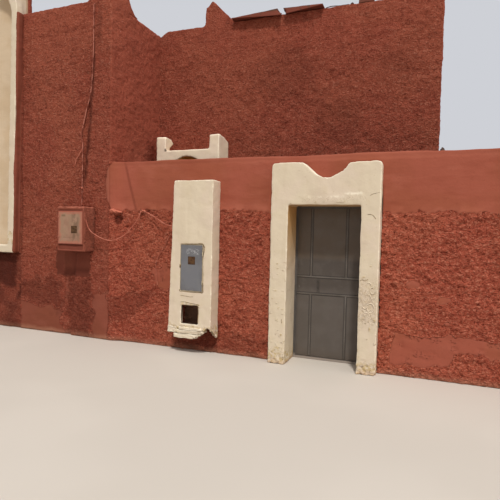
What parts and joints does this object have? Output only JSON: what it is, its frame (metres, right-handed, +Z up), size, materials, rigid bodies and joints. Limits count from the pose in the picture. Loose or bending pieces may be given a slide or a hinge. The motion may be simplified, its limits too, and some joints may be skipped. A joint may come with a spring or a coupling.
{
  "type": "adobe house",
  "caption": "Red-rendered adobe house with horned parapets, a walled yard, a cream street portal with a steel door, an arched inner portal and hinged meter cabinets.",
  "frame": {"origin": "middle of the footprint at ground level", "axes": "+X along the street front, to the right seen from the street; +Y from the street into the plot; +Z up"},
  "size_m": [12.15, 6.293, 6.6],
  "materials": {
    "rough_render": "rough thrown render, red ochre limewash",
    "red_masonry": "red-washed plaster",
    "smooth_render": "smooth plaster band, red limewash",
    "cream_plaster": "hand-trowelled plaster, cream limewash",
    "mud_roof": "rammed earth roof",
    "mud_floor": "earth and lime floor",
    "door_steel": "dark grey-brown oil paint",
    "cabinet_steel": "grey paint",
    "box_steel": "beige-grey paint with red overspray",
    "old_wood": "weathered boards",
    "cable_jacket": "cable jacket over-painted red"
  },
  "bodies": {
    "house": {"front_wall_left": "rough_render", "front_wall_right": "rough_render", "bay_wall": "cream_plaster", "left_wall": "rough_render", "rear_wall": "rough_render", "side_wall": "rough_render", "main_wall_left": "rough_render", "main_wall_right": "rough_render", "main_wall_over_door": "rough_render", "right_wall": "rough_render", "roof_left": "mud_roof", "roof_main": "mud_roof", "floor_left": "mud_floor", "floor_main": "mud_floor", "corner_buttress": "rough_render", "corner_horn": "rough_render", "far_corner_horns": "rough_render", "main_horn": "rough_render", "bay_jambs": "cream_plaster", "bay_sill": "cream_plaster", "bay_head": "cream_plaster", "street_wall_left": "smooth_render", "street_wall_right": "smooth_render", "street_wall_over_door": "smooth_render", "yard_side_wall": "rough_render", "yard_rear_wall": "rough_render", "portal_jambs": "cream_plaster", "portal_head": "cream_plaster", "door_frame": "door_steel", "inner_portal_jambs": "cream_plaster", "inner_portal_head": "cream_plaster", "meter_pillar": "cream_plaster", "meter_cabinet": "cabinet_steel", "meter_box_surround": "red_masonry", "meter_box_cabinet": "box_steel", "roof_boards": "old_wood", "cable_hook": "cabinet_steel", "service_cable": "cable_jacket", "link_cable": "cable_jacket"},
    "door": {"door_leaf": "door_steel", "door_mouldings": "door_steel", "door_lock": "door_steel"},
    "pillar_lid": {"meter_cabinet_door": "cabinet_steel"},
    "box_lid": {"meter_box_door": "box_steel"}
  },
  "joints": [
    {"name": "door_swing", "type": "hinge", "parent": "house", "child": "door", "pos_m": [3.0975, -2.4995, 0], "axis": [0, 0, -1], "range_deg": [0, 95]},
    {"name": "pillar_lid_swing", "type": "hinge", "parent": "house", "child": "pillar_lid", "pos_m": [0.9685, -3.1115, 0], "axis": [0, 0, 1], "range_deg": [0, 110]},
    {"name": "box_lid_swing", "type": "hinge", "parent": "house", "child": "box_lid", "pos_m": [-1.5945, -3.1415, 0], "axis": [0, 0, -1], "range_deg": [0, 110]}
  ]
}
